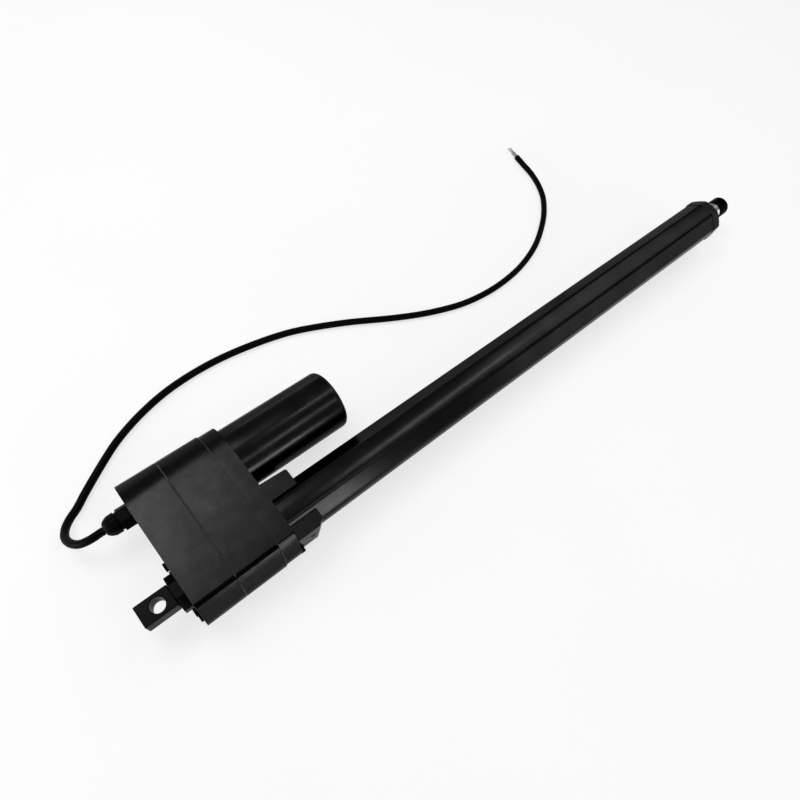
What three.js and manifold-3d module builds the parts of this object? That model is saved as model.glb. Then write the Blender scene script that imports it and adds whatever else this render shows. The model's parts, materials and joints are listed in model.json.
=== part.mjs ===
// Linear actuator with a parallel motor: a cast gear housing in three sections, an octagonal outer tube with a
// chromed rod inside it, a round motor can beside the tube, a rear clevis, and a cable that leaves by a gland.
// Millimetres, +Z up. +X runs along the tube from the rear clevis to the rod end, and +Y from the tube to the motor.
// Pieces are placed from the rear face of the housing (x = 0), the tube's axis (y = 0) and the floor (z = 0),
// and the whole group is then moved so that the middle of the underside lies at the origin.

import * as THREE from 'three';
import { mergeVertices } from 'three/addons/utils/BufferGeometryUtils.js';
import Module from 'manifold-3d';

const wasm = await Module();
wasm.setup();

// ---- driving dimensions ----------------------------------------------------------------------------------------

const GAP = 0.3; // clearance between two pieces that touch

const AXIS_Z = 36; // height of the tube's and the motor's axes over the floor
const MOTOR_Y = 72; // distance between the two axes
const HOUSING_R = 36; // radius of the housing's round ends, each centred on an axis
const HOUSING_WALL = 4;
const PLATEAU_Y = -22; // where the flat top and bottom step down to the round end on the tube's side
const GROOVE = { width: 2.4, floor: 24.4 }; // at the foot of that step; its floor's height is from the axis
const FRONT_INSET = 1; // the front cover's outline is this much smaller all round
const REAR_COVER_X = [0, 37];
const MIDDLE_X = [38.2, 78];
const FRONT_COVER_X = [78.8, 95];

const TUBE_FLATS = 48; // octagonal tube, across its flats
const TUBE_BORE_R = 19.5;
const TUBE_X = [91.6, 758];
const TUBE_CORNER_R = 7;
const TUBE_CROWN = 0.5; // the four main flats are this much higher in the middle than at their edges
const END_CAP_X = [758.3, 772];
const CHEEK = { y: [-28.8, 31.5], height: 40, x: 124.5, chamfer: [6.5, 4.5], ease: 1.5 }; // they hold the tube in front

const ROD_R = 11;
const ROD_BORE_R = 9;
const ROD_X = [119, 797.7];
const ROD_END = { r: 12.3, x: [798, 815.5], hole: 5, holeX: 807 };
const NUT = { r: 18.6, x: [116, 142] };
const SCREW_R = 8;
const SCREW_X = [9, 745];

const MOTOR_R = 30.7;
const MOTOR_X = [95.3, 206.6];
const MOTOR_FILLET = 5;

const CLEVIS = { end: -38.3, width: 20, height: 22, hole: 6.5, holeX: -22 };
const COLLAR = { r: 16.5, x: [-8.3, -0.3] };
const GLAND_Y = 82;
const GLAND_X = { hex: -10.6, ring: -12.6, dome: -25 };

const MODULE = 1.5; // gear teeth
const TEETH = { screw: 38, idlerSmall: 16, idlerLarge: 30, motor: 12 };
const IDLER_Y = ((TEETH.screw + TEETH.idlerSmall) * MODULE) / 2;
const SCREW_GEAR_X = [44, 58];
const IDLER_LARGE_X = [64, 74];

const CABLE_R = 3.75;

// ---- materials -------------------------------------------------------------------------------------------------

const finish = (color, roughness, metalness) => new THREE.MeshStandardMaterial({ color, roughness, metalness });
const CAST_BLACK = finish(0x1b1b1c, 0.5, 0.4);
const TUBE_BLACK = finish(0x151516, 0.35, 0.6);
const MOTOR_BLACK = finish(0x141415, 0.4, 0.4);
const SCREW_BLACK = finish(0x0d0d0e, 0.35, 0.8);
const PLASTIC_BLACK = finish(0x0e0e0f, 0.55, 0);
const RUBBER = finish(0x101010, 0.8, 0);
const GASKET = finish(0x4a4a4c, 0.7, 0);
const CHROME = finish(0xd8d9dc, 0.12, 1);
const STEEL = finish(0x9a9da2, 0.35, 1);
const BRONZE = finish(0xb08a4a, 0.4, 1);
const COPPER = finish(0xb5683a, 0.35, 1);
const TIN = finish(0xc4c6c8, 0.35, 0.9);
const SHEATH_GREY = finish(0x8d8f92, 0.6, 0);
const BOARD_GREEN = finish(0x1f5a35, 0.5, 0.1);
const MAGNET = finish(0x3a3b3d, 0.6, 0.2);

// ---- shape helpers ---------------------------------------------------------------------------------------------

/** A closed mesh with merged vertices and no empty triangles, turned so that its faces point outwards. */
function closed(geometry) {
  const bare = geometry.index ? geometry.clone() : geometry;
  bare.deleteAttribute('normal');
  bare.deleteAttribute('uv');
  const merged = mergeVertices(bare, 1e-4);
  const { array: at } = merged.attributes.position;
  const corners = merged.index.array;
  const kept = [];
  let volume = 0;
  for (let i = 0; i < corners.length; i += 3) {
    const [a, b, c] = corners.subarray(i, i + 3);
    if (a === b || b === c || c === a) continue;
    kept.push(a, b, c);
    const [p, q, r] = [a, b, c].map((k) => new THREE.Vector3().fromArray(at, 3 * k));
    volume += p.dot(q.cross(r));
  }
  if (volume < 0) kept.reverse();
  merged.setIndex(kept);
  return merged;
}

const toSolid = (geometry) => {
  const mesh = closed(geometry);
  const vertProperties = new Float32Array(mesh.attributes.position.array);
  const triVerts = new Uint32Array(mesh.index.array);
  return new wasm.Manifold(new wasm.Mesh({ numProp: 3, vertProperties, triVerts }));
};

const toGeometry = (solid) => {
  const { vertProperties, triVerts } = solid.getMesh();
  const geometry = new THREE.BufferGeometry();
  geometry.setAttribute('position', new THREE.BufferAttribute(new Float32Array(vertProperties), 3));
  geometry.setIndex(new THREE.BufferAttribute(new Uint32Array(triVerts), 1));
  return geometry;
};

const join = (first, ...rest) => toGeometry(rest.reduce((sum, g) => sum.add(toSolid(g)), toSolid(first)));
const cut = (first, ...rest) => toGeometry(rest.reduce((sum, g) => sum.subtract(toSolid(g)), toSolid(first)));

/** Points [y, z] of a section, as a shape whose first coordinate is y. */
const sectionShape = (points) => new THREE.Shape(points.map(([y, z]) => new THREE.Vector2(y, z)));

/** A section across the tube's axis, swept along X. */
function prism(points, [x0, x1], holes = []) {
  const shape = sectionShape(points);
  shape.holes = holes.map(sectionShape);
  const geometry = new THREE.ExtrudeGeometry(shape, { depth: x1 - x0, bevelEnabled: false });
  return geometry.applyMatrix4(new THREE.Matrix4().set(0, 0, 1, x0, 1, 0, 0, 0, 0, 1, 0, 0, 0, 0, 0, 1));
}

/** A turned piece about an axis parallel to X at (y, z). The profile is a list of [x, radius]. */
function turned(profile, y = 0, z = AXIS_Z, sides = 32) {
  const geometry = new THREE.LatheGeometry(profile.map(([x, r]) => new THREE.Vector2(r, x)), sides);
  return geometry.applyMatrix4(new THREE.Matrix4().set(0, 1, 0, 0, 0, 0, 1, y, 1, 0, 0, z, 0, 0, 0, 1));
}

const rod = ([x0, x1], r, y = 0, z = AXIS_Z, sides = 32) => turned([[x0, 0], [x0, r], [x1, r], [x1, 0]], y, z, sides);

const ring = ([x0, x1], inner, outer, y = 0, z = AXIS_Z, sides = 32) =>
  turned([[x0, inner], [x0, outer], [x1, outer], [x1, inner], [x0, inner]], y, z, sides);

const block = ([x0, x1], [y0, y1], [z0, z1]) =>
  new THREE.BoxGeometry(x1 - x0, y1 - y0, z1 - z0).translate((x0 + x1) / 2, (y0 + y1) / 2, (z0 + z1) / 2);

/** A cylinder about a vertical axis at (x, y). */
const upright = (x, y, [z0, z1], r, sides = 32) =>
  new THREE.CylinderGeometry(r, r, z1 - z0, sides).rotateX(Math.PI / 2).translate(x, y, (z0 + z1) / 2);

/** Points on an arc in the section plane; angles in degrees from +Y towards +Z. */
function arc(y, z, r, from, to, steps) {
  return Array.from({ length: steps + 1 }, (_, i) => {
    const angle = THREE.MathUtils.degToRad(from + ((to - from) * i) / steps);
    return [y + r * Math.cos(angle), z + r * Math.sin(angle)];
  });
}

const polygon = (sides, r, y, z, turn = 0) => arc(y, z, r, turn, turn + 360 * (1 - 1 / sides), sides - 1);

// ---- the object's pieces ---------------------------------------------------------------------------------------

const actuator = new THREE.Group();
const SIDE_STEPS = 14;

function piece(name, geometry, material) {
  const mesh = new THREE.Mesh(closed(geometry), material);
  mesh.name = name;
  actuator.add(mesh);
}

/** The housing's outline: flat top and bottom, a round end at each axis, and a step with a groove beside the tube. */
function housingOutline(r, groove) {
  const outer = groove ? PLATEAU_Y - groove.width : PLATEAU_Y;
  const stepAngle = THREE.MathUtils.radToDeg(Math.acos(outer / r));
  const foot = groove ? [[PLATEAU_Y, AXIS_Z + groove.floor], [outer, AXIS_Z + groove.floor]] : [];
  return [
    ...arc(MOTOR_Y, AXIS_Z, r, -90, 90, SIDE_STEPS),
    [PLATEAU_Y, AXIS_Z + r],
    ...foot,
    ...arc(0, AXIS_Z, r, stepAngle, 360 - stepAngle, SIDE_STEPS),
    ...foot.reverse().map(([y, z]) => [y, 2 * AXIS_Z - z]),
    [PLATEAU_Y, AXIS_Z - r],
  ];
}

/** The hollow inside the housing: a plain slot with two round ends. */
const hollowOutline = (r) => [
  ...arc(MOTOR_Y, AXIS_Z, r, -90, 90, SIDE_STEPS),
  ...arc(0, AXIS_Z, r, 90, 270, SIDE_STEPS),
];

/** Octagon with flats at top, bottom and sides. */
function octagon(flats) {
  const half = flats / 2;
  const corner = half * Math.tan(Math.PI / 8);
  const quarter = [[half, -corner], [half, corner], [corner, half], [-corner, half]];
  return [...quarter, ...quarter.map(([y, z]) => [-y, -z])].map(([y, z]) => [y, AXIS_Z + z]);
}

/** The tube's section: an octagon with rounded corners and four slightly crowned main flats. */
function tubeSection() {
  const base = TUBE_FLATS / 2 - TUBE_CROWN;
  const side = (base - TUBE_CORNER_R) * Math.tan(Math.PI / 8);
  const upper = arc(base - TUBE_CORNER_R, side, TUBE_CORNER_R, 0, 45, 3);
  const crown = [-0.6, -0.2, 0.2, 0.6].map((t) => [base + TUBE_CROWN * (1 - t * t), t * side]);
  const edge = [...crown, ...upper, ...upper.map(([y, z]) => [z, y]).reverse()];
  const turn = ([y, z], quarters) => [[y, z], [-z, y], [-y, -z], [z, -y]][quarters];
  return [0, 1, 2, 3].flatMap((q) => edge.map((p) => turn(p, q))).map(([y, z]) => [y, AXIS_Z + z]);
}

/** A spur gear's outline with involute flanks, three points to a flank. */
function gearOutline(teeth, y, phase) {
  const pitch = (teeth * MODULE) / 2;
  const base = pitch * Math.cos(THREE.MathUtils.degToRad(20));
  const involute = (r) => {
    const pressure = Math.acos(Math.min(1, base / r));
    return Math.tan(pressure) - pressure;
  };
  const halfTooth = (Math.PI * MODULE / 2 - GAP) / 2 / pitch;
  const half = (r) => halfTooth + involute(pitch) - involute(r);
  const [root, tip] = [pitch - 1.25 * MODULE, pitch + MODULE];
  const flank = [[root, half(Math.max(root, base))], [pitch, halfTooth], [tip, half(tip)]];
  const points = [];
  for (let i = 0; i < teeth; i += 1) {
    const middle = phase + (2 * Math.PI * i) / teeth;
    for (const [r, a] of flank) points.push([r, middle - a]);
    for (const [r, a] of [...flank].reverse()) points.push([r, middle + a]);
  }
  return points.map(([r, a]) => [y + r * Math.cos(a), AXIS_Z + r * Math.sin(a)]);
}

const gear = (teeth, y, phase, bore, x) =>
  prism(gearOutline(teeth, y, phase), x, [polygon(24, bore, y, AXIS_Z).reverse()]);

/** A socket-head screw along X: the head stands towards `towards` (+1 or -1) from the seat at x. */
function socketScrew(x, towards, y, z, { head = 4.2, height = 4, shank = 2.4, length = 20 }) {
  const along = (distance) => x + towards * distance;
  const profile = [
    [along(-length), 0], [along(-length), shank], [along(0), shank], [along(0), head],
    [along(height), head], [along(height), 2.2], [along(height / 2), 2.2], [along(height / 2), 0],
  ];
  return turned(profile, y, z, 16);
}

// Gear housing: rear cover, middle section and front cover, with a gasket at each seam.

const REAR_SCREWS = [[-24.5, AXIS_Z - 17], [-24.5, AXIS_Z + 17], [20, AXIS_Z - 17], [20, AXIS_Z + 17]];
const SIDE_SCREWS = [[-30.3, AXIS_Z - 8]];
const FLUSH_SCREWS = [[37, AXIS_Z - 28.6], [37, AXIS_Z + 28.6]];
const FLUSH_BOSS_R = 4.2;
const screwHole = (x, [y, z], r = 2.4 + GAP) => rod(x, r, y, z, 16);

/** A round boss for a screw, with a web that ties it to the wall above or below. */
function boss(x, [y, z], r = 5.2) {
  const side = Math.sign(z - AXIS_Z);
  const web = [z, AXIS_Z + side * (HOUSING_R - HOUSING_WALL / 2)].sort((a, b) => a - b);
  return side ? join(rod(x, r, y, z, 16), block(x, [y - 3, y + 3], web)) : rod(x, r, y, z, 16);
}

function rearCover() {
  const [x0, x1] = REAR_COVER_X;
  const hollow = cut(prism(hollowOutline(HOUSING_R - HOUSING_WALL), [x0 + 5, x1 + 1]),
    rod([x0 + 4, x0 + 22], 24), ...REAR_SCREWS.map((at) => boss([x0 + 4, x1 + 2], at)));
  return cut(prism(housingOutline(HOUSING_R, GROOVE), REAR_COVER_X), hollow,
    rod([x0 + 8, x0 + 23], 16 + GAP), rod([x0 - 1, x0 + 9], 9 + GAP),
    rod([x0 - 1, x0 + 6], 7 + GAP, GLAND_Y), ...REAR_SCREWS.map((at) => screwHole([x0 - 1, x1 + 1], at)));
}

function middleHousing() {
  const [x0, x1] = MIDDLE_X;
  const rearBosses = REAR_SCREWS.map((at) => boss([x0 - 1, x0 + 5], at));
  const frontX = [x1 - 15, x1 + 1];
  const frontBosses = [
    ...SIDE_SCREWS.map((at) => boss(frontX, at)),
    ...FLUSH_SCREWS.map((at) => boss(frontX, at, FLUSH_BOSS_R)),
  ];
  const hollow = cut(prism(hollowOutline(HOUSING_R - HOUSING_WALL), [x0 - 1, x1 + 1]), ...rearBosses, ...frontBosses);
  const holes = [
    ...REAR_SCREWS.map((at) => screwHole([x0 - 1, x0 + 6], at)),
    ...[...SIDE_SCREWS, ...FLUSH_SCREWS].map((at) => screwHole([x1 - 16, x1 + 1], at)),
  ];
  return cut(prism(housingOutline(HOUSING_R, GROOVE), MIDDLE_X), hollow, ...holes);
}

/** The block in front of the cover, chamfered beside the tube and eased beside the motor. */
function cheekBlock() {
  const { y: [y0, y1], height, x, chamfer: [long, short], ease } = CHEEK;
  const back = FRONT_COVER_X[1] - 1;
  const corners = [[back, y0], [x - long, y0], [x, y0 + short], [x, y1 - ease], [x - ease, y1], [back, y1 + 1.5]];
  const plan = new THREE.Shape(corners.map(([a, b]) => new THREE.Vector2(a, b)));
  const geometry = new THREE.ExtrudeGeometry(plan, { depth: height, bevelEnabled: false });
  return geometry.translate(0, 0, AXIS_Z - height / 2);
}

/** A set screw's hole or shank across a cheek: `side` is -1 beside the open air and +1 beside the motor. */
function cheekCross(side, r, from, to) {
  const geometry = new THREE.CylinderGeometry(r, r, to - from, 16);
  return geometry.translate(112, (side * (from + to)) / 2, AXIS_Z);
}

function frontCover() {
  const [x0, x1] = FRONT_COVER_X;
  const body = join(prism(housingOutline(HOUSING_R - FRONT_INSET), FRONT_COVER_X), cheekBlock());
  return cut(body,
    rod([x0 - 1, x0 + 13], 14 + GAP), // front bearing seat
    prism(octagon(TUBE_FLATS + 2 * GAP), [x0 + 10.5, CHEEK.x + 1]),
    rod([x0 - 1, x1 + 1], 12 + GAP, MOTOR_Y), rod([x0 - 1, x0 + 8], 4 + GAP, IDLER_Y),
    ...SIDE_SCREWS.map((at) => screwHole([x0 - 1, x1 + 1], at)),
    ...FLUSH_SCREWS.map((at) => screwHole([x0 - 1, x1 + 1], at)),
    ...FLUSH_SCREWS.map((at) => screwHole([x1 - 4.6, x1 + 1], at, 4.2 + GAP)),
    ...SIDE_SCREWS.map(([y, z]) => rod([x1 - 0.01, x1 + 7], 4.2 + GAP, y, z, 16)),
    cheekCross(-1, 2.5 + GAP, 20, 40), cheekCross(1, 2.5 + GAP, 20, 40));
}

piece('rear_cover', rearCover(), CAST_BLACK);
piece('gear_housing', middleHousing(), CAST_BLACK);
piece('front_cover', frontCover(), CAST_BLACK);

function gasket([x0, x1], spots) {
  const plate = prism(housingOutline(HOUSING_R - GAP, { ...GROOVE, floor: GROOVE.floor - GAP }), [x0, x1]);
  const opening = cut(prism(hollowOutline(HOUSING_R - HOUSING_WALL), [x0 - 1, x1 + 1]),
    ...spots.map((at) => boss([x0 - 2, x1 + 2], at)));
  return cut(plate, opening, ...spots.map((at) => screwHole([x0 - 1, x1 + 1], at)));
}

piece('rear_gasket', gasket([REAR_COVER_X[1] + GAP / 2, MIDDLE_X[0] - GAP / 2], REAR_SCREWS), GASKET);
piece('front_gasket', gasket([MIDDLE_X[1] + GAP / 2, FRONT_COVER_X[0] - GAP / 2], [...SIDE_SCREWS, ...FLUSH_SCREWS]), GASKET);

REAR_SCREWS.forEach(([y, z], i) => {
  const shape = socketScrew(-GAP, -1, y, z, { head: 4, height: 2.4, length: 42 });
  piece(`rear_screw_${i + 1}`, shape, SCREW_BLACK);
});
SIDE_SCREWS.forEach(([y, z], i) => {
  const shape = socketScrew(FRONT_COVER_X[1] + GAP, 1, y, z, { height: 4.5, length: 31 });
  piece(`front_screw_${i + 1}`, shape, SCREW_BLACK);
});
FLUSH_SCREWS.forEach(([y, z], i) => {
  const shape = socketScrew(FRONT_COVER_X[1] - 4.3, 1, y, z, { length: 26 });
  piece(`front_screw_${i + 2}`, shape, SCREW_BLACK);
});
CHEEK.y.forEach((face, i) => {
  const side = Math.sign(face);
  const [from, to] = [TUBE_FLATS / 2 + GAP, Math.abs(face) - 0.6];
  piece(`cheek_screw_${i + 1}`, cut(cheekCross(side, 2.5, from, to), cheekCross(side, 1.3, to - 2, to + 1)), SCREW_BLACK);
});

// Rear clevis: a square bar with a cross hole, a round shank in the rear cover, and a lock ring against the cover.

function rearClevis() {
  const { end, width, height, hole, holeX } = CLEVIS;
  const bar = block([end, 0.5], [-width / 2, width / 2], [AXIS_Z - height / 2, AXIS_Z + height / 2]);
  const whole = join(cut(bar, block([-8.6, 1], [-20, 20], [AXIS_Z - 20, AXIS_Z + 20])), rod([-9, 7], 9));
  return cut(whole, upright(holeX, 0, [0, 2 * AXIS_Z], hole));
}

piece('rear_clevis', rearClevis(), SCREW_BLACK);
piece('clevis_lock_ring', prism(polygon(8, COLLAR.r / Math.cos(Math.PI / 8), 0, AXIS_Z, 22.5), COLLAR.x,
  [polygon(32, 9 + GAP, 0, AXIS_Z).reverse()]), SCREW_BLACK);

// Outer tube, its end cap, and what guides and seals the rod.

piece('outer_tube', prism(tubeSection(), TUBE_X,
  [polygon(40, TUBE_BORE_R, 0, AXIS_Z).reverse()]), TUBE_BLACK);

function endCap() {
  const [x0, x1] = END_CAP_X;
  const bevel = 2.6;
  const cone = turned([[x0 - 20, 0], [x0 - 20, 60], [x1 - bevel - 0.4, TUBE_FLATS / 2 + 3], [x1, TUBE_FLATS / 2 - 0.6],
    [x1, 0]], 0, AXIS_Z, 48);
  const outer = toGeometry(toSolid(prism(octagon(TUBE_FLATS), END_CAP_X)).intersect(toSolid(cone)));
  return cut(outer, rod([x0 - 1, x1 + 1], ROD_R + 0.5, 0, AXIS_Z, 40), rod([x1 - 6, x1 + 1], 15.5, 0, AXIS_Z, 40));
}

piece('tube_end_cap', endCap(), TUBE_BLACK);
piece('rod_wiper', ring([END_CAP_X[1] - 5.7, END_CAP_X[1] + 1.2], ROD_R + GAP, 15.2), RUBBER);
piece('guide_bush', ring([TUBE_X[1] - 5.2, TUBE_X[1]], ROD_R + GAP, TUBE_BORE_R - GAP), BRONZE);
piece('tube_seal', ring([TUBE_X[0] - 2, TUBE_X[0] - GAP], 20, 23.4), RUBBER);

piece('piston_rod', ring(ROD_X, ROD_BORE_R, ROD_R, 0, AXIS_Z, 40), CHROME);

function rodEnd() {
  const { r, x: [x0, x1], hole, holeX } = ROD_END;
  const bevel = 1.2;
  const body = turned([[x0 - 18, 0], [x0 - 18, ROD_BORE_R - GAP], [x0, ROD_BORE_R - GAP], [x0, r], [x1 - bevel, r],
    [x1, r - bevel], [x1, 0]], 0, AXIS_Z, 40);
  return cut(body, upright(holeX, 0, [0, 2 * AXIS_Z], hole, 24));
}

piece('rod_end', rodEnd(), SCREW_BLACK);

function driveNut() {
  const [x0, x1] = NUT.x;
  return turned([[x0, SCREW_R + GAP], [x0, ROD_R + 3], [x0 + 2, NUT.r], [x1, NUT.r], [x1, ROD_R + GAP],
    [x0 + 2.6, ROD_R + GAP], [x0 + 2.6, SCREW_R + GAP], [x0, SCREW_R + GAP]], 0, AXIS_Z, 32);
}

piece('drive_nut', driveNut(), BRONZE);

// Lead screw with its gear and bearings.

function leadScrew() {
  const [x0, x1] = SCREW_X;
  return turned([[x0, 0], [x0, 6], [x0 + 15, 6], [x0 + 15, SCREW_R], [x1 - 9, SCREW_R], [x1 - 9, 5], [x1, 5], [x1, 0]]);
}

piece('lead_screw', leadScrew(), STEEL);
piece('screw_stop_washer', ring([SCREW_X[1] - 8.7, SCREW_X[1] - 4], 5 + GAP, SCREW_R + 0.4, 0, AXIS_Z, 24), STEEL);
piece('screw_gear', gear(TEETH.screw, 0, 0, SCREW_R + GAP, SCREW_GEAR_X), STEEL);
piece('rear_bearing', ring([REAR_COVER_X[0] + 9, REAR_COVER_X[0] + 21], 6 + GAP, 16), STEEL);
piece('front_bearing', ring([FRONT_COVER_X[0] + GAP, FRONT_COVER_X[0] + 9.7], SCREW_R + GAP, 14), STEEL);

// Intermediate gear pair on its own shaft.

piece('idler_gear', gear(TEETH.idlerLarge, IDLER_Y, 0, 7 + GAP, IDLER_LARGE_X), STEEL);
piece('idler_pinion', join(
  gear(TEETH.idlerSmall, IDLER_Y, Math.PI - Math.PI / TEETH.idlerSmall, 4 + GAP, [SCREW_GEAR_X[0] - 1, 62]),
  ring([61.5, IDLER_LARGE_X[1]], 4 + GAP, 7, IDLER_Y, AXIS_Z, 24)), STEEL);
piece('idler_shaft', rod([26, FRONT_COVER_X[0] + 7], 4, IDLER_Y, AXIS_Z, 24), STEEL);
piece('idler_bracket', cut(block([26, 34], [IDLER_Y - 9, IDLER_Y + 9], [AXIS_Z - 31.4, AXIS_Z + 31.4]),
  rod([25, 35], 4 + GAP, IDLER_Y, AXIS_Z, 24)), CAST_BLACK);

// Motor: can with magnets, armature on its shaft, commutator, brushes, bearings and pinion.

const CAN_WALL = 2.5;
const inMotor = ([x0, x1], r, sides = 32) => rod([x0, x1], r, MOTOR_Y, AXIS_Z, sides);
const motorRing = (x, inner, outer, sides = 32) => ring(x, inner, outer, MOTOR_Y, AXIS_Z, sides);

function motorCan() {
  const [x0, x1] = MOTOR_X;
  const f = MOTOR_FILLET;
  const corner = [0, 30, 60, 90].map((a) => THREE.MathUtils.degToRad(a))
    .map((a) => [x1 - f + f * Math.sin(a), MOTOR_R - f + f * Math.cos(a)]);
  return turned([[x0, MOTOR_R - CAN_WALL], [x0, MOTOR_R], ...corner, [x1, 0], [x1 - CAN_WALL, 0],
    [x1 - CAN_WALL, MOTOR_R - f], [x1 - f, MOTOR_R - CAN_WALL], [x0, MOTOR_R - CAN_WALL]], MOTOR_Y, AXIS_Z, 48);
}

piece('motor_can', motorCan(), MOTOR_BLACK);
piece('motor_end_plate', motorRing([MOTOR_X[0], MOTOR_X[0] + 5], 9 + GAP, MOTOR_R - CAN_WALL - GAP), STEEL);

function magnet(side) {
  const [outer, inner] = [MOTOR_R - CAN_WALL - GAP, MOTOR_R - CAN_WALL - 5];
  const [from, to] = [25, 155].map((a) => a * side);
  return prism([...arc(MOTOR_Y, AXIS_Z, outer, from, to, 12), ...arc(MOTOR_Y, AXIS_Z, inner, to, from, 12)],
    [MOTOR_X[0] + 32, MOTOR_X[1] - 16]);
}

piece('motor_magnet_1', magnet(1), MAGNET);
piece('motor_magnet_2', magnet(-1), MAGNET);
piece('motor_armature', motorRing([MOTOR_X[0] + 38, MOTOR_X[1] - 22], 4 + GAP, 21.5), COPPER);
piece('motor_commutator', motorRing([MOTOR_X[0] + 12, MOTOR_X[0] + 28], 4 + GAP, 10, 24), COPPER);
piece('motor_shaft', inMotor([60, MOTOR_X[1] - 4.5], 4, 24), STEEL);
piece('motor_rear_bearing', motorRing([MOTOR_X[0] - 0.1, MOTOR_X[0] + 6.8], 4 + GAP, 9, 24), STEEL);
piece('motor_nose_bearing', motorRing([MOTOR_X[1] - 10, MOTOR_X[1] - 4], 4 + GAP, 8, 24), STEEL);
for (const [i, side] of [[1, 1], [2, -1]]) {
  piece(`motor_brush_${i}`, block([MOTOR_X[0] + 15, MOTOR_X[0] + 25],
    [MOTOR_Y + side * 18 - 7.6, MOTOR_Y + side * 18 + 7.6], [AXIS_Z - 4, AXIS_Z + 4]), MAGNET);
}
piece('motor_pinion', gear(TEETH.motor, MOTOR_Y, Math.PI - Math.PI / TEETH.motor, 4 + GAP, [62, 76]), STEEL);

// Limit switches on their board, behind the gland.

piece('limit_switch_board', block([24, 25.6], [56, 92], [AXIS_Z - 20, AXIS_Z + 20]), BOARD_GREEN);
for (const [i, z] of [[1, AXIS_Z - 12], [2, AXIS_Z + 12]]) {
  piece(`limit_switch_${i}`, block([15, 23.7], [60, 80], [z - 5, z + 5]), PLASTIC_BLACK);
}

// Cable gland: hexagonal body, sealing ring and domed nut.

piece('cable_gland_body', join(
  prism(polygon(6, 11.2, GLAND_Y, AXIS_Z), [GLAND_X.hex, -GAP], [polygon(24, CABLE_R + GAP, GLAND_Y, AXIS_Z).reverse()]),
  ring([-1, 8], CABLE_R + GAP, 7, GLAND_Y, AXIS_Z, 24)), PLASTIC_BLACK);
piece('gland_seal', ring([GLAND_X.ring + GAP, GLAND_X.hex - GAP], CABLE_R + GAP, 8.6, GLAND_Y, AXIS_Z, 24), RUBBER);
piece('gland_nut', turned([[GLAND_X.dome, CABLE_R + GAP], [GLAND_X.dome, 5.2], [-22.6, 7.9], [-19.5, 9.4],
  [GLAND_X.ring, 9.9], [GLAND_X.ring, CABLE_R + GAP], [GLAND_X.dome, CABLE_R + GAP]], GLAND_Y, AXIS_Z, 24), PLASTIC_BLACK);

// Cable: out of the gland, down to the floor, round a loop and along beside the motor and the tube.

const FLOOR_Z = CABLE_R + 0.05;
const CABLE_ROUTE = [
  [2, GLAND_Y, AXIS_Z], [-8, GLAND_Y, AXIS_Z], [-18, GLAND_Y, AXIS_Z], [-28, GLAND_Y, AXIS_Z],
  [-38, 82.5, 34.2], [-47, 86, 29.5], [-53, 93.5, 23], [-55, 103, 16], [-52, 112.5, 9.5], [-46, 119.5, 5.6],
  [-36, 126, FLOOR_Z], [-24, 134.5, FLOOR_Z], [3, 152, FLOOR_Z], [22, 163, FLOOR_Z], [43, 172, FLOOR_Z],
  [65, 179, FLOOR_Z], [88, 184, FLOOR_Z], [112, 186.5, FLOOR_Z], [136, 187, FLOOR_Z], [161, 185.5, FLOOR_Z],
  [187, 182, FLOOR_Z], [213, 177, FLOOR_Z], [238, 170, FLOOR_Z], [287, 149.5, FLOOR_Z], [337, 124, FLOOR_Z],
  [364, 111.5, FLOOR_Z], [390, 101.5, FLOOR_Z], [421, 92.5, FLOOR_Z], [454, 88, FLOOR_Z], [489, 88, FLOOR_Z],
  [527, 93.5, FLOOR_Z], [567, 107, FLOOR_Z], [604, 129, FLOOR_Z], [622, 144, FLOOR_Z], [637, 161, FLOOR_Z],
  [647, 180, FLOOR_Z], [653, 200, FLOOR_Z], [655, 217, FLOOR_Z], [657, 233, FLOOR_Z],
];
const cableCurve = new THREE.CatmullRomCurve3(CABLE_ROUTE.map((p) => new THREE.Vector3(...p)), false, 'centripetal');

/** A round length of wire along a curve, with a step about every two and a half diameters. */
function wire(curve, r, sides, stepLength) {
  const section = new THREE.Shape(polygon(sides, r, 0, 0).map(([a, b]) => new THREE.Vector2(a, b)));
  const steps = Math.max(2, Math.round(curve.getLength() / stepLength));
  return new THREE.ExtrudeGeometry(section, { steps, bevelEnabled: false, extrudePath: curve });
}

piece('cable', wire(cableCurve, CABLE_R, 10, 16), PLASTIC_BLACK);

const cableEnd = cableCurve.getPoint(1);
const cableWay = cableCurve.getTangent(1);
const beyond = (distance, aside = 0) => new THREE.Vector3(
  cableEnd.x + cableWay.x * distance - cableWay.y * aside, cableEnd.y + cableWay.y * distance + cableWay.x * aside, FLOOR_Z);
piece('cable_inner_sheath', wire(new THREE.LineCurve3(beyond(GAP), beyond(9)), 2.6, 10, 9), SHEATH_GREY);
for (const [i, aside] of [[1, 1.3], [2, -1.3]]) {
  piece(`cable_conductor_${i}`, wire(new THREE.LineCurve3(beyond(9 + GAP, aside), beyond(18, aside * 1.5)), 1, 8, 9), TIN);
}

// The middle of the underside, without the cable, goes to the origin.

actuator.position.set(-(CLEVIS.end + ROD_END.x[1]) / 2, -MOTOR_Y / 2, 0);

export default actuator;
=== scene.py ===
import bpy
import bmesh
import json
import math
from mathutils import Matrix, Vector


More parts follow.
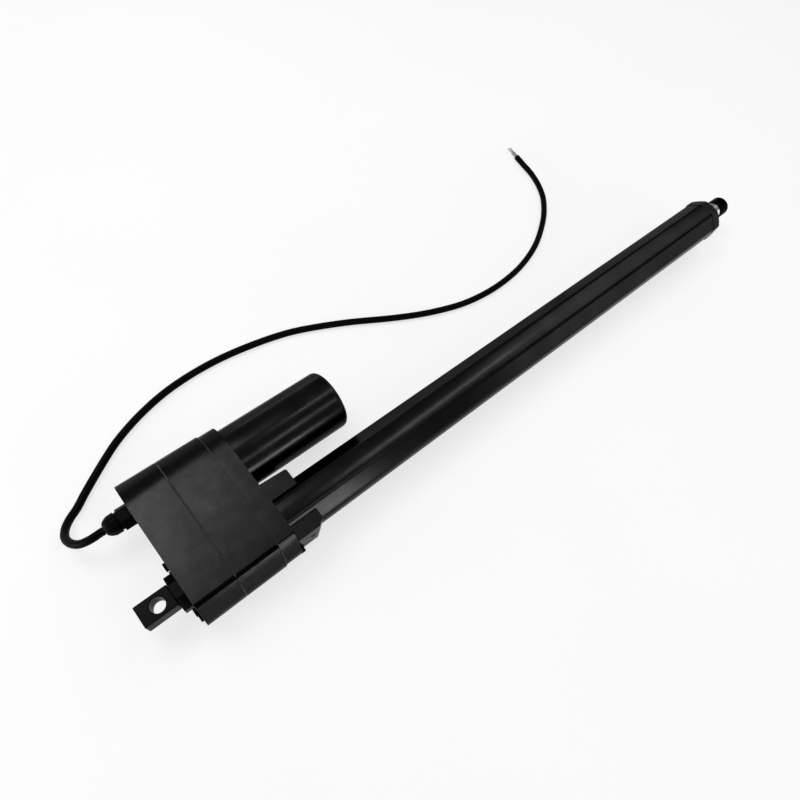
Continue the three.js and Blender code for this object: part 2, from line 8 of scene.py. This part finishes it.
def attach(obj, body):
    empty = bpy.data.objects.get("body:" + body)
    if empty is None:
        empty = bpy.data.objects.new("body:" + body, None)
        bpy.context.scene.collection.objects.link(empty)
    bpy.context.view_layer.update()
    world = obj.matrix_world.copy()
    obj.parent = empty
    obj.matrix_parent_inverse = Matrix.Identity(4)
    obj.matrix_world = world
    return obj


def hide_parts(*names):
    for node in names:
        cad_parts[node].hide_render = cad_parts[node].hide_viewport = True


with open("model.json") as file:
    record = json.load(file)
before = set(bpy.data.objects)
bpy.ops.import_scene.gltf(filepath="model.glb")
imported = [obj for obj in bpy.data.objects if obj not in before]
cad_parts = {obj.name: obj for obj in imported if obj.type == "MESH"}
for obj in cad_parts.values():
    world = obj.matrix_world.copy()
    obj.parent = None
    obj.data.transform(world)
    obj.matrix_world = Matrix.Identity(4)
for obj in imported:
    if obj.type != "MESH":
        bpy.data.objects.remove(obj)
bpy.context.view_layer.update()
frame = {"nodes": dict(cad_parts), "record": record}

# Places are first given in millimetres from the rear face of the housing (x), the tube's axis (y) and
# the floor (z), as in the CAD source, and at() turns them into metres in the row frame.
MM = 0.001
CLEVIS_END_X = -38.3
ROD_END_X = 815.5
MOTOR_Y = 72
AXIS_Z = 36
ORIGIN = Vector(((CLEVIS_END_X + ROD_END_X) / 2, MOTOR_Y / 2, 0))


def at(x, y, z):
    return (Vector((x, y, z)) - ORIGIN) * MM


# ---- camera ------------------------------------------------------------------------------------------

CAMERA_AT = (13.5, -121.7, 586.7)  # yaw turns from +Y towards +X, and pitch is down from level
YAW, PITCH, ROLL = (math.radians(a) for a in (58.8, 62.1, -21.1))
LENS_MM = 27.6
SENSOR_MM = 36


def make_camera():
    forward = Vector((math.sin(YAW) * math.cos(PITCH), math.cos(YAW) * math.cos(PITCH), -math.sin(PITCH)))
    level = Vector((math.cos(YAW), -math.sin(YAW), 0))
    down = forward.cross(level)
    right = level * math.cos(ROLL) + down * math.sin(ROLL)
    up = level * math.sin(ROLL) - down * math.cos(ROLL)
    data = bpy.data.cameras.new("camera")
    data.lens = LENS_MM
    data.sensor_width = SENSOR_MM
    camera = bpy.data.objects.new("camera", data)
    bpy.context.scene.collection.objects.link(camera)
    camera.matrix_world = Matrix((right, up, -forward)).transposed().to_4x4()
    camera.location = at(*CAMERA_AT)
    bpy.context.scene.camera = camera


make_camera()

# ---- shader helpers ----------------------------------------------------------------------------------


class Shader:
    """A node material built round one Principled shader."""

    def __init__(self, name, color, roughness, metallic=0.0, **sockets):
        self.material = bpy.data.materials.new(name)
        self.material.use_nodes = True
        self.tree = self.material.node_tree
        self.bsdf = self.tree.nodes["Principled BSDF"]
        self.bsdf.inputs["Base Color"].default_value = (*color, 1)
        self.bsdf.inputs["Roughness"].default_value = roughness
        self.bsdf.inputs["Metallic"].default_value = metallic
        for socket, value in sockets.items():
            self.bsdf.inputs[socket.replace("_", " ")].default_value = value
        self.coordinates = self.tree.nodes.new("ShaderNodeTexCoord")

    def node(self, kind, **values):
        made = self.tree.nodes.new(kind)
        for key, value in values.items():
            setattr(made, key, value)
        return made

    def link(self, a, b):
        self.tree.links.new(a, b)

    def stretch(self, scale):
        mapping = self.node("ShaderNodeMapping")
        mapping.inputs["Scale"].default_value = scale
        self.link(self.coordinates.outputs["Object"], mapping.inputs["Vector"])
        return mapping.outputs["Vector"]

    def noise(self, scale, detail=4.0, stretch=(1, 1, 1)):
        texture = self.node("ShaderNodeTexNoise")
        texture.inputs["Scale"].default_value = scale
        texture.inputs["Detail"].default_value = detail
        self.link(self.stretch(stretch), texture.inputs["Vector"])
        return texture.outputs["Fac"]

    def spread(self, fac, low, high):
        """fac, most of which lies between 0.3 and 0.7, spread between low and high."""
        spread = self.node("ShaderNodeMapRange")
        spread.inputs["From Min"].default_value = 0.3
        spread.inputs["From Max"].default_value = 0.7
        spread.inputs["To Min"].default_value = low
        spread.inputs["To Max"].default_value = high
        self.link(fac, spread.inputs["Value"])
        return spread.outputs["Result"]

    def vary_color(self, fac, dark, light):
        mix = self.node("ShaderNodeMix", data_type="RGBA")
        mix.inputs["A"].default_value = (*dark, 1)
        mix.inputs["B"].default_value = (*light, 1)
        self.link(self.spread(fac, 0, 1), mix.inputs["Factor"])
        self.link(mix.outputs["Result"], self.bsdf.inputs["Base Color"])

    def vary_roughness(self, fac, low, high):
        self.link(self.spread(fac, low, high), self.bsdf.inputs["Roughness"])

    def bump(self, *layers):
        """layers are (height, strength, distance in mm), the first one underneath."""
        normal = None
        for height, strength, distance in layers:
            bump = self.node("ShaderNodeBump")
            bump.inputs["Strength"].default_value = strength
            bump.inputs["Distance"].default_value = distance * MM
            self.link(height, bump.inputs["Height"])
            if normal is not None:
                self.link(normal, bump.inputs["Normal"])
            normal = bump.outputs["Normal"]
        self.link(normal, self.bsdf.inputs["Normal"])


def grey(level, tint=1.02):
    return (level, level, level * tint)


EDGE_TINT = (0.5, 0.5, 0.5, 1)  # keeps black finishes dark where they are seen edge on
FULLY_METALLIC = 1.0


def black(name, level, roughness):
    """A black finish as a dark metal, which stands in for a coat: it mirrors this share of the light."""
    return Shader(name, grey(level), roughness, FULLY_METALLIC, Specular_Tint=EDGE_TINT)


def powder_coat(name, level, roughness):
    """Black powder coat: a fine orange peel, a little dust and slow changes of sheen."""
    shader = black(name, level, roughness)
    shader.vary_color(shader.noise(90, 6), grey(level * 0.85), grey(level * 1.2))
    shader.vary_roughness(shader.noise(35, 3), roughness - 0.04, roughness + 0.05)
    shader.bump((shader.noise(1400, 2), 0.35, 0.08), (shader.noise(260, 3), 0.2, 0.12))
    return shader.material


def anodised(name, level, roughness):
    """Black anodised extrusion: faint draw lines along X."""
    shader = black(name, level, roughness)
    lines = shader.noise(1, 4, (6, 2600, 2600))
    shader.vary_color(shader.noise(30, 4), grey(level * 0.85), grey(level * 1.2))
    shader.vary_roughness(lines, roughness - 0.03, roughness + 0.05)
    shader.bump((lines, 0.12, 0.03), (shader.noise(900, 2), 0.12, 0.03))
    return shader.material


def enamel(name, level, roughness):
    """Black enamel: smooth, with a long shallow ripple."""
    shader = black(name, level, roughness)
    shader.vary_color(shader.noise(60, 5), grey(level * 0.85), grey(level * 1.2))
    shader.vary_roughness(shader.noise(45, 3), roughness - 0.03, roughness + 0.05)
    shader.bump((shader.noise(420, 3), 0.15, 0.08))
    return shader.material


def metal(name, color, roughness, scale=900, stretch=(1, 1, 1), strength=0.12):
    """Bare metal with a grain, which stretch can draw out into lines."""
    shader = Shader(name, color, roughness, FULLY_METALLIC)
    shader.vary_color(shader.noise(60, 5), [c * 0.9 for c in color], [min(1, c * 1.08) for c in color])
    grain = shader.noise(scale, 4, stretch)
    shader.vary_roughness(grain, max(0.03, roughness - 0.05), roughness + 0.07)
    shader.bump((grain, strength, 0.02))
    return shader.material


def plastic(name, color, roughness, scale=700, specular=0.5):
    """Moulded plastic, rubber or board with a fine grain."""
    shader = Shader(name, color, roughness, Specular_IOR_Level=specular)
    shader.vary_color(shader.noise(80, 5), [c * 0.85 for c in color], [min(1, c * 1.15) for c in color])
    shader.vary_roughness(shader.noise(120, 3), roughness - 0.05, roughness + 0.06)
    shader.bump((shader.noise(scale, 3), 0.18, 0.05))
    return shader.material


MATERIALS = {
    "cast_housing": powder_coat("powder coat", 0.02, 0.28),
    "tube_black": anodised("anodised tube", 0.02, 0.22),
    "motor_black": enamel("motor enamel", 0.022, 0.22),
    "fastener_black": enamel("black oxide", 0.006, 0.34),
    "plastic_black": plastic("black nylon", grey(0.002), 0.45, specular=0.04),
    "rubber_black": plastic("black rubber", grey(0.004), 0.7, 300, 0.1),
    "gasket_grey": plastic("grey gasket", grey(0.09), 0.8, 1500),
    "rod_chrome": metal("hard chrome", (0.78, 0.79, 0.81), 0.12, 1, (8, 3000, 3000), 0.04),
    "steel_ground": metal("ground steel", (0.42, 0.43, 0.45), 0.32, 1, (3000, 60, 60)),
    "bronze": metal("sintered bronze", (0.45, 0.27, 0.11), 0.42),
    "copper_wound": metal("copper", (0.5, 0.17, 0.07), 0.35, 1, (60, 2500, 2500)),
    "tinned_wire": metal("tinned strands", (0.62, 0.63, 0.64), 0.3, 1, (2500, 2500, 200)),
    "sheath_grey": plastic("grey sheath", grey(0.3), 0.55),
    "board_green": plastic("solder mask", (0.02, 0.12, 0.045), 0.35),
    "magnet_dark": plastic("ferrite", grey(0.045), 0.6),
}

SLOT_OF = {part["node"]: part["material_slot"] for part in frame["record"]["subparts"]}


def shade(piece, slot):
    piece.data.materials.clear()
    piece.data.materials.append(MATERIALS[slot])


# ---- CAD nodes: materials and eased edges ------------------------------------------------------------

EASE_MM = {
    "rear_cover": 1.2, "gear_housing": 1.2, "front_cover": 1.2, "rear_gasket": 0, "front_gasket": 0,
    "outer_tube": 0.4, "tube_end_cap": 0.6, "motor_can": 0.6, "rear_clevis": 0.7, "clevis_lock_ring": 0.6,
    "rod_end": 0.4, "cable_gland_body": 0.5, "piston_rod": 0.4,
}
SMALL_EASE_MM = 0.2  # for every other node
SHARP = math.radians(28)
WELD_M = 0.00002


def ease(piece, width, segments=3):
    """Rounds a piece's sharp edges by that many millimetres and smooths its shading."""
    weld = piece.modifiers.new("weld", "WELD")
    weld.merge_threshold = WELD_M
    if width:
        bevel = piece.modifiers.new("ease", "BEVEL")
        bevel.width = width * MM
        bevel.segments = segments
        bevel.limit_method = "ANGLE"
        bevel.angle_limit = SHARP
        bevel.harden_normals = True
    normals = piece.modifiers.new("normals", "WEIGHTED_NORMAL")
    normals.keep_sharp = True


def dress_cad_nodes():
    for name, node in frame["nodes"].items():
        node.data.materials.clear()
        node.data.materials.append(MATERIALS[SLOT_OF[name]])
        if "custom_normal" in node.data.attributes:
            node.data.attributes.remove(node.data.attributes["custom_normal"])
        for face in node.data.polygons:
            face.use_smooth = True
        ease(node, EASE_MM.get(name, SMALL_EASE_MM))


# ---- mesh helpers ------------------------------------------------------------------------------------


def mesh_object(name, vertices, faces, slot, smooth=True):
    mesh = bpy.data.meshes.new(name)
    mesh.from_pydata([tuple(v) for v in vertices], [], faces)
    mesh.validate()
    piece = bpy.data.objects.new(name, mesh)
    bpy.context.scene.collection.objects.link(piece)
    work = bmesh.new()
    work.from_mesh(mesh)
    bmesh.ops.remove_doubles(work, verts=work.verts, dist=1e-6)
    bmesh.ops.recalc_face_normals(work, faces=work.faces)
    work.to_mesh(mesh)
    work.free()
    for face in mesh.polygons:
        face.use_smooth = smooth
    shade(piece, slot)
    return piece


def turned(name, profile, y, z, slot, sides=64, ripple=None):
    """A closed turned piece about an axis along X. profile is a closed list of (x, radius) in millimetres;
    ripple(x, angle) is added to the radius."""
    vertices, faces = [], []
    for x, radius in profile:
        for i in range(sides):
            angle = 2 * math.pi * i / sides
            r = radius + (ripple(x, radius, angle) if ripple else 0)
            vertices.append(at(x, y + r * math.cos(angle), z + r * math.sin(angle)))
    count = len(profile)
    for j in range(count):
        k = (j + 1) % count
        for i in range(sides):
            n = (i + 1) % sides
            faces.append((j * sides + i, j * sides + n, k * sides + n, k * sides + i))
    return mesh_object(name, vertices, faces, slot)


# ---- cable -------------------------------------------------------------------------------------------

GLAND_Y = 82
FLOOR_Z = 3.8
CABLE_DIAMETER_MM = 7.5
CABLE_ROUTE = [
    (2, GLAND_Y, AXIS_Z), (-8, GLAND_Y, AXIS_Z), (-18, GLAND_Y, AXIS_Z), (-28, GLAND_Y, AXIS_Z),
    (-38, 82.5, 34.2), (-47, 86, 29.5), (-53, 93.5, 23), (-55, 103, 16), (-52, 112.5, 9.5), (-46, 119.5, 5.6),
    (-36, 126, FLOOR_Z), (-24, 134.5, FLOOR_Z), (3, 152, FLOOR_Z), (22, 163, FLOOR_Z), (43, 172, FLOOR_Z),
    (65, 179, FLOOR_Z), (88, 184, FLOOR_Z), (112, 186.5, FLOOR_Z), (136, 187, FLOOR_Z), (161, 185.5, FLOOR_Z),
    (187, 182, FLOOR_Z), (213, 177, FLOOR_Z), (238, 170, FLOOR_Z), (287, 149.5, FLOOR_Z), (337, 124, FLOOR_Z),
    (364, 111.5, FLOOR_Z), (390, 101.5, FLOOR_Z), (421, 92.5, FLOOR_Z), (454, 88, FLOOR_Z), (489, 88, FLOOR_Z),
    (527, 93.5, FLOOR_Z), (567, 107, FLOOR_Z), (604, 129, FLOOR_Z), (622, 144, FLOOR_Z), (637, 161, FLOOR_Z),
    (647, 180, FLOOR_Z), (653, 200, FLOOR_Z), (655, 217, FLOOR_Z), (657, 233, FLOOR_Z),
]
CABLE_EXIT = (-28, GLAND_Y, AXIS_Z)
INTO_GLAND = 3.4  # the cable starts this far inside the route's exit point
LEVEL_BAND = 0.5  # on the level stretch the route stays within this height of the gland's axis


def smooth_route(route, per_span=8):
    """Points on a centripetal Catmull-Rom curve through a route."""
    p = [Vector(q) for q in route]
    p = [2 * p[0] - p[1], *p, 2 * p[-1] - p[-2]]
    points = []
    for a, b, c, d in zip(p, p[1:], p[2:], p[3:]):
        t = [0.0]
        for start, end in ((a, b), (b, c), (c, d)):
            t.append(t[-1] + math.sqrt((end - start).length))
        for i in range(per_span):
            s = t[1] + (t[2] - t[1]) * i / per_span
            ab = a.lerp(b, (s - t[0]) / (t[1] - t[0]))
            bc = b.lerp(c, (s - t[1]) / (t[2] - t[1]))
            cd = c.lerp(d, (s - t[2]) / (t[3] - t[2]))
            abc = ab.lerp(bc, (s - t[0]) / (t[2] - t[0]))
            bcd = bc.lerp(cd, (s - t[1]) / (t[3] - t[1]))
            points.append(abc.lerp(bcd, (s - t[1]) / (t[2] - t[1])))
    return [*points, p[-2]]


def make_cable():
    outside = CABLE_ROUTE[CABLE_ROUTE.index(CABLE_EXIT) - 1:]
    data = bpy.data.curves.new("cable_sheath", "CURVE")
    data.dimensions = "3D"
    data.bevel_depth = CABLE_DIAMETER_MM / 2 * MM
    data.bevel_resolution = 6
    data.use_fill_caps = True
    spline = data.splines.new("POLY")
    start_x, level_z = CABLE_EXIT[0] + INTO_GLAND, AXIS_Z - LEVEL_BAND
    points = [q for q in smooth_route(outside) if q.x <= start_x or q.z < level_z]
    spline.points.add(len(points) - 1)
    for point, place in zip(spline.points, points):
        point.co = (*at(*place), 1)
    spline.use_smooth = True
    cable = bpy.data.objects.new("cable_sheath", data)
    bpy.context.scene.collection.objects.link(cable)
    shade(cable, "plastic_black")
    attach(cable, "housing")
    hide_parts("cable")


make_cable()
dress_cad_nodes()


# ---- cable gland's domed nut -------------------------------------------------------------------------

FLUTES = 12
FLUTE_DEPTH = 0.35
FLUTED_FROM_R = 8.6  # only this radius and more carries flutes
CABLE_CLEARANCE = 0.35


def make_gland_nut():
    """Domed nut with grip flutes round its skirt."""
    bore = CABLE_DIAMETER_MM / 2 + CABLE_CLEARANCE
    profile = [
        (-25.0, bore), (-25.0, 4.9), (-24.6, 5.6), (-23.8, 6.6), (-22.6, 7.6), (-21.2, 8.4), (-19.6, 9.1),
        (-18.8, 9.4), (-18.4, 9.5), (-13.4, 9.7), (-12.9, 9.5), (-12.6, 9.1), (-12.6, bore),
    ]

    def flutes(x, radius, angle):
        return FLUTE_DEPTH * min(0, math.cos(FLUTES * angle)) * (radius > FLUTED_FROM_R)

    nut = turned("gland_dome_nut", profile, GLAND_Y, AXIS_Z, "plastic_black", 96, flutes)
    ease(nut, 0.15, 2)
    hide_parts("gland_nut")
    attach(nut, "housing")


make_gland_nut()

# ---- floor and light ---------------------------------------------------------------------------------


FLOOR_HALF = 6.0
BELOW_PART = 0.0002
WORLD_STRENGTH = 0.2


def make_floor():
    half = FLOOR_HALF
    mesh = bpy.data.meshes.new("floor")
    corners = [(-half, -half, 0), (half, -half, 0), (half, half, 0), (-half, half, 0)]
    mesh.from_pydata(corners, [], [(0, 1, 2, 3)])
    floor = bpy.data.objects.new("floor", mesh)
    bpy.context.scene.collection.objects.link(floor)
    floor.location.z = -BELOW_PART
    shader = Shader("pale floor", (0.4, 0.4, 0.4), 0.9, Emission_Color=(1, 1, 1, 1), Emission_Strength=0.7)
    shader.vary_color(shader.noise(3, 2), (0.39, 0.39, 0.39), (0.41, 0.41, 0.41))
    mesh.materials.append(shader.material)


def softbox(name, direction, distance, size, radiance, aim=(-0.25, 0, 0)):
    """A rectangular area light of a given radiance, a distance from the point that it aims at."""
    data = bpy.data.lights.new(name, "AREA")
    data.shape = "RECTANGLE"
    data.size, data.size_y = size
    data.energy = radiance * math.pi * size[0] * size[1]
    light = bpy.data.objects.new(name, data)
    bpy.context.scene.collection.objects.link(light)
    towards = Vector(direction).normalized()
    light.location = Vector(aim) + towards * distance
    light.rotation_euler = (-towards).to_track_quat("-Z", "Y").to_euler()
    return light


def make_light():
    world = bpy.data.worlds.new("studio")
    bpy.context.scene.world = world
    world.use_nodes = True
    world.node_tree.nodes["Background"].inputs["Color"].default_value = (1, 1, 1, 1)
    world.node_tree.nodes["Background"].inputs["Strength"].default_value = WORLD_STRENGTH
    softbox("softbox_top", (-0.15, 0.42, 0.9), 1.6, (0.75, 0.75), 4.0)
    softbox("softbox_tube", (0.4, 0.09, 0.89), 1.6, (0.05, 0.8), 16.0, (-0.1, -0.04, 0.06))
    softbox("softbox_far", (0.7, 0.17, 0.7), 1.6, (0.8, 0.8), 1.3, (0.1, -0.04, 0.06))
    softbox("softbox_side", (0.12, -0.96, 0.19), 1.5, (0.5, 0.2), 10.0, (-0.24, -0.05, 0.05))
    softbox("softbox_far_side", (0.75, -0.65, 0.15), 1.5, (0.9, 0.5), 1.0, (0, 0, 0.05))
    softbox("softbox_motor", (0.24, -0.6, 0.78), 1.6, (0.5, 0.2), 3.6, (-0.24, 0.02, 0.06))
    softbox("softbox_left", (0.3, 0.93, 0.14), 1.4, (0.5, 0.25), 1.6, (-0.24, 0.05, 0.05))
    softbox("softbox_rear", (-1, 0.25, 0.12), 1.2, (0.7, 0.4), 9.0, (-0.36, 0, 0.06))
    bpy.context.scene.view_settings.view_transform = "Standard"


make_floor()
make_light()
